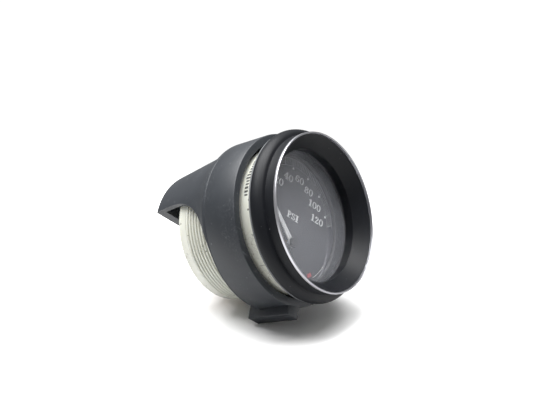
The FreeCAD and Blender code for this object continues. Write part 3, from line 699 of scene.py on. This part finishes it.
FIGURES = {
    "0": ribbon(oval(0.31, 0.5, 0.215, 0.455)),
    "1": bar(0.22, 0, 0.42, 1) + bar(0.10, 0, 0.54, 0.08) + bar(0.10, 0.78, 0.30, 0.88),
    "2": ribbon(smooth_line([(0.12, 0.72), (0.19, 0.90), (0.33, 0.95), (0.47, 0.80), (0.42, 0.56),
                             (0.22, 0.26), (0.09, 0.06)])) + bar(0.07, 0, 0.55, 0.13)
         + bar(0.48, 0, 0.56, 0.27) + bar(0.06, 0.64, 0.24, 0.80),
    "4": ribbon(smooth_line([(0.38, 0.98), (0.20, 0.62), (0.05, 0.29)]), 0.10, 0.08)
         + bar(0.02, 0.25, 0.60, 0.36) + bar(0.30, 0, 0.50, 1) + bar(0.20, 0, 0.60, 0.08),
    "6": ribbon(oval(0.31, 0.29, 0.205, 0.245)) + ribbon(smooth_line(
        [(0.49, 0.86), (0.36, 0.95), (0.20, 0.82), (0.12, 0.55), (0.11, 0.30)]))
        + bar(0.40, 0.74, 0.56, 0.88),
    "8": ribbon(oval(0.31, 0.73, 0.165, 0.215)) + ribbon(oval(0.31, 0.27, 0.205, 0.225)),
    "P": bar(0.12, 0, 0.33, 1) + bar(0.02, 0, 0.44, 0.09) + bar(0.02, 0.91, 0.30, 1)
         + ribbon(oval(0.30, 0.72, 0.24, 0.235, -100, 100)),
    "S": ribbon(smooth_line([(0.50, 0.78), (0.36, 0.94), (0.18, 0.88), (0.14, 0.68), (0.32, 0.50),
                             (0.50, 0.32), (0.44, 0.10), (0.26, 0.05), (0.10, 0.22)]))
         + bar(0.46, 0.68, 0.54, 0.98) + bar(0.06, 0.02, 0.14, 0.32),
    "I": bar(0.12, 0, 0.34, 1) + bar(0.02, 0, 0.44, 0.09) + bar(0.02, 0.91, 0.44, 1),
}
ADVANCE = {"1": 0.60, "4": 0.64, "I": 0.50}     # how far the pen moves on after a figure
USUAL_ADVANCE = 0.63
print("figures drawn:", "".join(FIGURES))

# %% [markdown]
# ## Printing on the dial
# Ink has almost no thickness. A closed tile that stands a few hundredths of a millimetre in
# front of the plate is enough. Each figure is its own piece, so a wrong one can be found and
# mended by name.

# %% Printing on the dial
INK_Y = DIAL_FRONT - 0.04


def ink(name, shapes, finish, depth=INK_Y):
    """Thin closed tiles of ink: each shape is a list of (x, z) corners in mm."""
    work = bmesh.new()
    for shape in shapes:
        front = [work.verts.new(mm(p[0], depth, p[1])) for p in shape]
        rear = [work.verts.new(mm(p[0], DIAL_FRONT, p[1])) for p in shape]
        work.faces.new(front)
        work.faces.new(rear[::-1])
        for i in range(len(shape)):
            j = (i + 1) % len(shape)
            work.faces.new((front[i], rear[i], rear[j], front[j]))
    made = show(name, mesh_of(name, work, finish))
    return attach(made, "gauge_body")


def write(name, text, x, z, height, finish=ink_white):
    """Text centred on (x, z)."""
    width = sum(ADVANCE.get(c, USUAL_ADVANCE) for c in text)
    pen, shapes = -width / 2, []
    for c in text:
        for shape in FIGURES[c]:
            shapes.append([(x + (p[0] + pen) * height * WIDEN, z + (p[1] - 0.5) * height) for p in shape])
        pen += ADVANCE.get(c, USUAL_ADVANCE)
    return ink(name, shapes, finish)


def on_dial(radius, degrees):
    a = math.radians(degrees)
    return radius * math.cos(a), radius * math.sin(a)


FULL, MIDDLE = 120, 60          # the scale's last figure, and the one at the top
for value in range(0, FULL + 1, 20):
    aside = abs(value - MIDDLE) / MIDDLE
    x, z = on_dial(15.3 - 2.0 * aside, 90 - 66 * (value - MIDDLE) / MIDDLE)
    write("figure_%d" % value, str(value), x, z, 2.6)
write("unit_word", "PSI", 0.0, 1.1, 2.4)
print("seven figures and the unit's name printed")

# %% [markdown]
# ## Dots, ticks and the scale's arc
# Between the figures are round dots, and outside them a fine arc with ticks, printed dimmer so
# that it doesn't compete with the figures. The pointer turns about a pivot below the dial's
# centre, so a mark lies where the pointer's direction for its value meets the arc: one small
# sum gives that point. An arc is a run of tiles so short that they look round. A red bar marks
# the lower right edge, and a thin white arc beside it is a painted reflection of the rim.

# %% Dots, ticks and the scale's arc
def tile_arc(radius, width, first, last, steps):
    shapes = []
    for k in range(steps):
        a, b = first + (last - first) * k / steps, first + (last - first) * (k + 1) / steps
        shapes.append([on_dial(radius - width / 2, a), on_dial(radius + width / 2, a),
                       on_dial(radius + width / 2, b), on_dial(radius - width / 2, b)])
    return shapes


ARC_INNER_R, ARC_OUTER_R = 18.9, 21.6
DOT_R, DOT_CIRCLE_R = 0.42, 18.2


def on_scale(value, radius):
    """Where the pointer's direction for this value meets a circle about the dial's centre."""
    direction = Vector(on_dial(1, ZERO_ANGLE - SWEEP * value / FULL))
    rise = PIVOT_Z * direction.y
    reach = -rise + math.sqrt(rise ** 2 + radius ** 2 - PIVOT_Z ** 2)
    return Vector((0, PIVOT_Z)) + direction * reach


def tick(value, inner, outer, width):
    a, b = on_scale(value, inner), on_scale(value, outer)
    along = (b - a).normalized()
    across = Vector((-along.y, along.x)) * width / 2
    return [a - across, b - across, b + across, a + across]


dots = []
for value in range(10, FULL, 20):
    cx, cz = on_scale(value, DOT_CIRCLE_R)
    turns = [2 * math.pi * k / 20 for k in range(20)]
    dots.append([(cx + DOT_R * math.cos(a), cz + DOT_R * math.sin(a)) for a in turns])
ink("scale_dots", dots, ink_white)
ends = [math.degrees(math.atan2(*reversed(on_scale(v, ARC_INNER_R)))) for v in (0, FULL)]
ink("scale_arc_inner", tile_arc(ARC_INNER_R, 0.20, *ends, 90), ink_grey)
ink("scale_arc_outer", tile_arc(ARC_OUTER_R, 0.20, *ends, 90), ink_grey)
long_ticks = [tick(v, ARC_INNER_R, ARC_OUTER_R, 0.38) for v in range(0, FULL + 1, 10)]
short_ticks = [tick(v, 19.6, ARC_OUTER_R, 0.28) for v in range(0, FULL + 1, 2) if v % 10]
ink("scale_ticks_long", long_ticks, ink_grey, DIAL_FRONT - 0.05)
ink("scale_ticks_short", short_ticks, ink_grey, DIAL_FRONT - 0.03)
ink("red_mark", tile_arc(19.9, 1.3, -47, -53, 4), ink_red)
# Painted reflection: a thin white ink arc near the lower right edge stands in for the rim's bright
# reflection.
ink("painted_reflection_arc", tile_arc(21.3, 0.10, -46, -26, 16), ink_white)
print("dots:", len(dots))

# %% [markdown]
# ## The pointer
# The pointer is a long white wedge with a ridge along its middle, pressed on the pinion's arbor.
# It starts wide at the hub and comes to a blunt tip. Sections along its length are joined like
# a loft, then a small bevel takes the sharpness off. It moves, so it rides on its own body.

# %% The pointer
BLADE_BACK, BLADE_SIDE = 5.10, 0.22         # depth of its flat back, height of its sides
HUB_R, NECK_R, ARBOR_R = 1.70, 1.20, 0.62
HUB_FRONT, HUB_REAR, CAP_FRONT, CAP_R = 4.46, 6.10, 3.70, 1.90


def pointer_blade():
    """Sections are (place along the pointer, half width, depth of the ridge)."""
    work = bmesh.new()
    rows = []
    for along, half, top in ((1.6, 1.05, 4.45), (2.6, 1.03, 4.45), (20.8, 0.43, 4.73), (22.0, 0.28, 4.82)):
        shoulder = BLADE_BACK - BLADE_SIDE
        profile = ((-half, BLADE_BACK), (-half, shoulder), (0.0, top), (half, shoulder), (half, BLADE_BACK))
        rows.append([work.verts.new(mm(along, y, across)) for across, y in profile])
    capped_rows(work, rows)
    for v in work.verts:
        v.co = Matrix.Rotation(-math.radians(ZERO_ANGLE), 3, "Y") @ v.co + mm(0, 0, PIVOT_Z)
    made = from_bmesh("pointer_blade", work, pointer_paint, "pointer_assembly", 20)
    soften(made, 0.05, 2, 25)
    return made


blade = pointer_blade()
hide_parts("pointer")
hub = turned("pointer_hub", rounded([
    (ARBOR_R, HUB_FRONT, 0.0), (HUB_R, HUB_FRONT, 0.1), (HUB_R, BLADE_BACK, 0.08),
    (NECK_R, BLADE_BACK, 0.08), (NECK_R, HUB_REAR, 0.08), (ARBOR_R, HUB_REAR, 0.0)]), pointer_paint,
    "pointer_assembly", z=PIVOT_Z, segments=48)
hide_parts("pointer")
cap = turned("pointer_hub_cap", rounded([
    (0.0, CAP_FRONT, 0.0), (CAP_R, CAP_FRONT, 0.40), (CAP_R, 4.45, 0.08), (0.0, 4.45, 0.0)]), cap_plastic,
    "pointer_assembly", z=PIVOT_Z, segments=64)
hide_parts("pointer_cap")
print("pointer reaches", [round(c * 1000, 1) for c in blade.data.vertices[-1].co])

# %% [markdown]
# ## The case and its thread
# The case is a moulded cup. Its front runs plain through the panel, and behind it is a coarse
# thread for the collar. The CAD part has closed rings there; here the thread is a real helix:
# its rounded section is carried round the case, one row of points per step, and sinks into the
# wall at both ends as a moulded thread does.

# %% The case and its thread
def helix(name, section, pitch, first_y, last_y, finish, z=0.0, per_turn=96, fade=0.35, sharp=40):
    """Carry a section of (radius, depth) points round the axis at z from first_y to last_y."""
    count = int((last_y - first_y) / pitch * per_turn)
    foot = min(r for r, _ in section)
    work = bmesh.new()
    rows = []
    for k in range(count + 1):
        a = 2 * math.pi * k / per_turn
        y = first_y + pitch * k / per_turn
        rise = min(1.0, k / (per_turn * fade), (count - k) / (per_turn * fade))
        sunk = [(foot + (r - foot) * rise, y + dy * (0.3 + 0.7 * rise)) for r, dy in section]
        rows.append([work.verts.new(mm(r * math.cos(a), depth, z + r * math.sin(a))) for r, depth in sunk])
    capped_rows(work, rows)
    return from_bmesh(name, work, finish, sharp=sharp)


case_shell = turned("case_shell", rounded([
    (24.35, -2.75, 0.1), (PANEL_HOLE_R, -2.75, 0.1), (PANEL_HOLE_R, 9.20, 0.3), (24.70, 10.00, 0.3),
    (24.70, 33.80, 0.2), (24.60, 34.00, 0.0), (24.60, CASE_END, 0.7), (23.00, CASE_END, 0.4),
    (22.70, WALL_REAR, 0.3), (0.0, WALL_REAR, 0.0), (0.0, WALL_FRONT, 0.0), (22.60, WALL_FRONT, 0.4),
    (22.60, 6.90, 0.05), (24.35, 6.90, 0.05)]),
    case_white, segments=192)
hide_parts("case")
CASE_PITCH = 1.4
crest = [(24.62, 0.39), (24.86, 0.31), (25.16, 0.21), (25.29, 0.11)]
crest = [(r, -share * CASE_PITCH) for r, share in crest] + [(25.30, 0.0)] + [
    (r, share * CASE_PITCH) for r, share in reversed(crest)]
case_thread = helix("case_thread", crest, CASE_PITCH, 11.0, 33.4, case_white)
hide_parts("case")
print("case faces:", len(case_shell.data.polygons), "thread faces:", len(case_thread.data.polygons))

# %% [markdown]
# ## Marks on the case
# A real case carries a printed code where the panel will hide it. Here it is a plain block of
# bars in two rows, which says nothing but has the same weight. The bars are thin tiles wrapped
# on the case's round side, with lengths drawn at random. One more tile, a hair wide, is a crack.

# %% Marks on the case
def wrapped_tile(work, radius, thick, a0, a1, y0, y1, steps=3):
    inner, outer = [], []
    for k in range(steps + 1):
        a = math.radians(a0 + (a1 - a0) * k / steps)
        for ring_of, r in ((inner, radius - 0.02), (outer, radius + thick)):
            ring_of.append([work.verts.new(mm(r * math.cos(a), y, r * math.sin(a))) for y in (y0, y1)])
    for k in range(steps):
        a, b, c, d = inner[k], inner[k + 1], outer[k], outer[k + 1]
        work.faces.new((c[0], c[1], d[1], d[0]))
        work.faces.new((a[0], b[0], b[1], a[1]))
        work.faces.new((a[0], c[0], d[0], b[0]))
        work.faces.new((a[1], b[1], d[1], c[1]))
    work.faces.new((inner[0][0], inner[0][1], outer[0][1], outer[0][0]))
    work.faces.new((inner[-1][0], outer[-1][0], outer[-1][1], inner[-1][1]))


INK_THICK = 0.02
BARS, BAR_GAP = 12, 0.8
# For each row: where in its column a bar starts and ends, its front, and its least and most end.
BAR_ROWS = ((0.0, 0.85, 1.6, 2.9, 3.3), (0.4, 1.0, 3.6, 4.8, 5.3))
CRACK = (241.0, 241.25, 1.8, 5.4)       # first and last angle, front and end
work = bmesh.new()
angle = 158.0
for _ in range(BARS):
    wide = random.uniform(1.7, 2.3)
    for start, share, front, least, most in BAR_ROWS:
        wrapped_tile(work, PANEL_HOLE_R, INK_THICK, angle + start, angle + wide * share, front,
                     random.uniform(least, most))
    angle += wide + BAR_GAP
wrapped_tile(work, PANEL_HOLE_R, INK_THICK, *CRACK)
case_bars = from_bmesh("case_code_bars", work, ink_black)
print("code bars end at", round(angle, 1), "degrees")

# %% [markdown]
# ## The collar and its hood
# The collar screws along the case until it clamps the panel. Behind it, in one piece, a hood
# like half a tapered tube covers the top of the case and closes in a rear wall. One way is a
# spun shell cut by a boolean, but a boolean leaves slivers that no bevel likes. Here each row
# of the spun shell simply stops where the cut would be: the cut is a height for each depth, so
# the angle at which a row meets it can be worked out, and both skins stay all quads.

# %% The hood's outline
def cut_height(y):
    """Lowest point of the hood at this depth: a quarter round, then straight."""
    from_start = y - COLLAR_BACK
    if from_start >= CUT_FILLET:
        return CUT_Z
    return CUT_Z - CUT_FILLET + math.sqrt(CUT_FILLET ** 2 - (CUT_FILLET - from_start) ** 2)


def along_profile(points, y):
    for (y0, r0), (y1, r1) in zip(points, points[1:]):
        if y <= y1:
            return r0 + (r1 - r0) * (y - y0) / (y1 - y0)
    return points[-1][1]


HOOD_OUTSIDE = [(COLLAR_BACK, COLLAR_R), (19.7, 30.36), (20.4, 30.12), (21.2, 29.72), (22.4, 29.22),
                (24.0, 28.72), (26.5, 28.10), (30.0, 27.54), (48.9, 24.92), (49.5, 24.76),
                (49.9, 24.50), (50.2, 24.10)]
HOOD_INSIDE = [(COLLAR_BACK, COLLAR_BORE_R), (20.1, 27.80), (26.5, 26.60), (46.1, 23.40)]
HOOD_BACK_INSIDE = HOOD_INSIDE[-1][0]
SIDE_STEPS, BELOW_STEPS = 150, 60

stations = [COLLAR_BACK + CUT_FILLET * (1 - math.cos(math.radians(a))) for a in range(0, 90, 3)]
stations = [y for y in stations if y < 40.0] + [40.1, 41.6, 43.1, 44.6, HOOD_BACK_INSIDE]
rear_stations = [47.5, 48.9, 49.5, 49.9, 50.2]
print("hood rows:", len(stations) + len(rear_stations))

# %% The collar and its hood
def start_angle(radius, y):
    return math.asin(max(-1.0, min(1.0, cut_height(y) / radius)))


def row_of(work, radius, y, low, closed):
    """Points from the cut on the right, over the top, to the cut on the left; closed adds the bottom."""
    angles = [low + (math.pi - 2 * low) * k / SIDE_STEPS for k in range(SIDE_STEPS + 1)]
    if closed:
        first, span = math.pi - low, math.pi + 2 * low
        angles += [first + span * k / BELOW_STEPS for k in range(1, BELOW_STEPS)]
    return [work.verts.new(mm(radius * math.cos(a), y, radius * math.sin(a))) for a in angles]


LEVELLING_ROWS = 5              # rows in which the start angle goes from the bore's to the outside's
work = bmesh.new()
low_in, low_out = start_angle(COLLAR_BORE_R, COLLAR_BACK), start_angle(COLLAR_R, COLLAR_BACK)
front_loop = [(COLLAR_BORE_R, COLLAR_BACK), (COLLAR_BORE_R, 10.40), (26.30, 10.00), (26.30, 8.40),
              (27.70, 7.60), (27.70, COLLAR_FRONT), (30.00, COLLAR_FRONT), (30.28, 5.72), (COLLAR_R, 6.00),
              (COLLAR_R, 18.50), (30.36, 18.58), (30.36, 18.68), (COLLAR_R, 18.76), (COLLAR_R, COLLAR_BACK)]
rings = []
for k, (r, y) in enumerate(front_loop):
    share = min(1.0, k / LEVELLING_ROWS)
    rings.append(row_of(work, r, y, low_in + (low_out - low_in) * share, True))
join_rows(work, rings)
inner_ring, outer_ring = rings[0], rings[-1]
below = list(range(SIDE_STEPS, SIDE_STEPS + BELOW_STEPS)) + [0]
for j, k in zip(below, below[1:]):
    work.faces.new((inner_ring[j], inner_ring[k], outer_ring[k], outer_ring[j]))
outside, inside = [outer_ring[:SIDE_STEPS + 1]], [inner_ring[:SIDE_STEPS + 1]]
skins = ((outside, HOOD_OUTSIDE, stations[1:] + rear_stations), (inside, HOOD_INSIDE, stations[1:]))
for rows, profile, depths in skins:
    for y in depths:
        r = along_profile(profile, y)
        rows.append(row_of(work, r, y, start_angle(r, y), False))
for rows, _, _ in skins:
    join_rows(work, rows, closed=False)
for side in (0, -1):
    for k in range(len(inside) - 1):
        work.faces.new((outside[k][side], outside[k + 1][side], inside[k + 1][side], inside[k][side]))
deep = len(inside) - 1
work.faces.new(outside[-1])
work.faces.new(inside[-1])
work.faces.new([row[0] for row in outside[deep:]] + [row[-1] for row in outside[:deep - 1:-1]]
               + [inside[-1][-1], inside[-1][0]])
collar = from_bmesh("collar_and_hood", work, collar_plastic, sharp=34)
soften(collar, 0.32, 3, 40)
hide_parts("retaining_collar")
print("collar faces:", len(collar.data.polygons))

# %% [markdown]
# ## The collar's lug
# A block under the collar gives the fingers something to turn it by. It is two small boxes of
# faces, sunk in the collar, with a bevel round every edge so that they catch the light.

# %% The collar's lug
def block(name, x0, x1, y0, y1, z0, z1, finish, edge=0.3, body="gauge_body"):
    work = bmesh.new()
    corners = [work.verts.new(mm(x, y, z)) for x in (x0, x1) for y in (y0, y1) for z in (z0, z1)]
    for face in ((0, 1, 3, 2), (4, 6, 7, 5), (0, 4, 5, 1), (2, 3, 7, 6), (0, 2, 6, 4), (1, 5, 7, 3)):
        work.faces.new([corners[i] for i in face])
    bmesh.ops.bevel(work, geom=list(work.edges), offset=edge * MM, segments=3, profile=0.5, affect="EDGES")
    return from_bmesh(name, work, finish, body, 50)


lug = block("collar_lug", 4.5, 10.2, 5.65, 23.4, -33.2, -27.95, collar_plastic, 0.45)
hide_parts("retaining_collar")
lug_step = block("collar_lug_step", 4.9, 9.8, 18.4, 22.9, -28.6, -26.6, collar_plastic, 0.3)
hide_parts("retaining_collar")
print("lug size, mm:", [round(v * 1000, 1) for v in lug.dimensions])

# %% [markdown]
# ## The inlet stem
# The air line screws on a brass stem with a fine pipe thread. The block it belongs to is inside
# the case. The stem is turned, then a fine helix is laid on it, and its mouth is drilled.

# %% The inlet stem
inlet_stem = turned("inlet_stem", rounded([
    (1.60, 33.60, 0.0), (5.30, 33.60, 0.1), (5.30, 40.30, 0.15), (4.72, 40.60, 0.15), (4.72, 47.20, 0.3),
    (4.25, 47.70, 0.1), (2.40, 47.70, 0.1), (2.40, 44.20, 0.05), (1.60, 44.20, 0.0)]), stem_brass,
    z=STEM_Z, segments=96)
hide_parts("socket")
PIPE_PITCH = 0.94
pipe_crest = [(4.66, -0.40), (5.08, -0.09), (5.13, 0.0), (5.08, 0.09), (4.66, 0.40)]
pipe_thread = helix("inlet_thread", pipe_crest, PIPE_PITCH, 41.2, 47.0, stem_brass, z=STEM_Z, per_turn=64)
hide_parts("socket")
socket_block = block("socket_block", -6.5, 9.0, 13.9, 33.5, -18.6, -6.2, stem_brass, 1.2)
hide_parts("socket")
print("thread faces:", len(pipe_thread.data.polygons))

# %% [markdown]
# ## The floor
# The gauge lies on its side on a white table. The CAD frame can't be turned, so the table is
# tilted instead: its up direction is found from the two edges that the gauge rests on. The
# floor lies at the object's lowest point along that direction. It fades out with distance, so
# that no horizon shows, and its underside is clear, so that a view from below isn't blocked.

# %% The floor
UP = Vector((-0.600, -0.342, 0.723)).normalized()
depsgraph = bpy.context.evaluated_depsgraph_get()
lowest = min((o.evaluated_get(depsgraph).matrix_world @ v.co).dot(UP)
             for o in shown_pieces() for v in o.evaluated_get(depsgraph).data.vertices)
paper, tree, shader = finish_of("floor_paper", (0.93, 0.93, 0.93), 0.8)
side = tree.nodes.new("ShaderNodeNewGeometry")
seen = tree.nodes.new("ShaderNodeLightPath").outputs["Is Camera Ray"]
tree.links.new(ranged(tree, seen, 0.58, 0.93), shader.inputs["Base Color"])
away = add(tree, "ShaderNodeVectorMath", {"operation": "LENGTH"})
tree.links.new(local(tree), away.inputs[0])
far = ranged(tree, away.outputs["Value"], 0.0, 1.0, From_Min=0.10, From_Max=0.26)
gone = calc(tree, "MAXIMUM", side.outputs["Backfacing"], far)
clear_where(tree, shader, gone)

flat = bpy.data.meshes.new("floor")
work = bmesh.new()
bmesh.ops.create_grid(work, x_segments=1, y_segments=1, size=0.9)
work.to_mesh(flat)
work.free()
flat.materials.append(paper)
floor = show("floor", flat)
floor.rotation_mode = "QUATERNION"
floor.rotation_quaternion = UP.to_track_quat("Z", "Y")
floor.location = UP * lowest
floor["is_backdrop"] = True
print("floor lies", round(lowest * 1000, 2), "mm along its up direction")

# %% [markdown]
# ## The light
# A white room lights the gauge from all round. It is dimmer as light than as a backdrop, so that
# the black parts stay black. A large soft lamp above casts the shadow, and a smaller one comes
# from the front left.

# %% The light
world = bpy.data.worlds.new("white_room")
world.use_nodes = True
world.node_tree.nodes["Background"].inputs["Color"].default_value = (1.0, 1.0, 1.0, 1.0)
room = world.node_tree
path = room.nodes.new("ShaderNodeLightPath")
glow = ranged(room, path.outputs["Is Camera Ray"], 0.34, 1.05)
room.links.new(glow, room.nodes["Background"].inputs["Strength"])
bpy.context.scene.world = world


def softbox(name, direction, distance, size, power):
    lamp = bpy.data.lights.new(name, "AREA")
    lamp.shape = "DISK"
    lamp.size = size
    lamp.energy = power
    made = show(name, lamp)
    towards = Vector(direction).normalized()
    made.location = towards * distance
    made.rotation_mode = "QUATERNION"
    made.rotation_quaternion = towards.to_track_quat("Z", "Y")
    return made


softbox("light_above", UP + Vector((-0.20, 0.30, 0.10)), 0.75, 0.85, 18.0)
softbox("light_front", (-0.55, -0.80, 0.95), 0.80, 0.50, 6.0)

# %% [markdown]
# ## The camera
# The camera stands in front of the gauge and well to its left, a little above the table. Two of
# its directions are made square to each other, and the third follows from them.

# %% The camera
eye = Vector((-0.1626, -0.1405, -0.1057))
back = Vector((-0.645, -0.619, -0.447)).normalized()
right = Vector((0.625, -0.765, 0.157))
right = (right - back * right.dot(back)).normalized()
up = back.cross(right)
lens_data = bpy.data.cameras.new("camera")
lens_data.lens = 45.8
lens_data.sensor_width = 36.0
lens_data.clip_start = 0.005
lens_data.clip_end = 20.0
camera = show("camera", lens_data)
camera.matrix_world = Matrix.Translation(eye) @ Matrix((right, up, back)).transposed().to_4x4()
bpy.context.scene.camera = camera
bpy.context.scene.view_settings.view_transform = "Standard"
print("camera", round((eye - Vector((0, RIM_FRONT * MM, 0))).length * 1000), "mm from the rim")
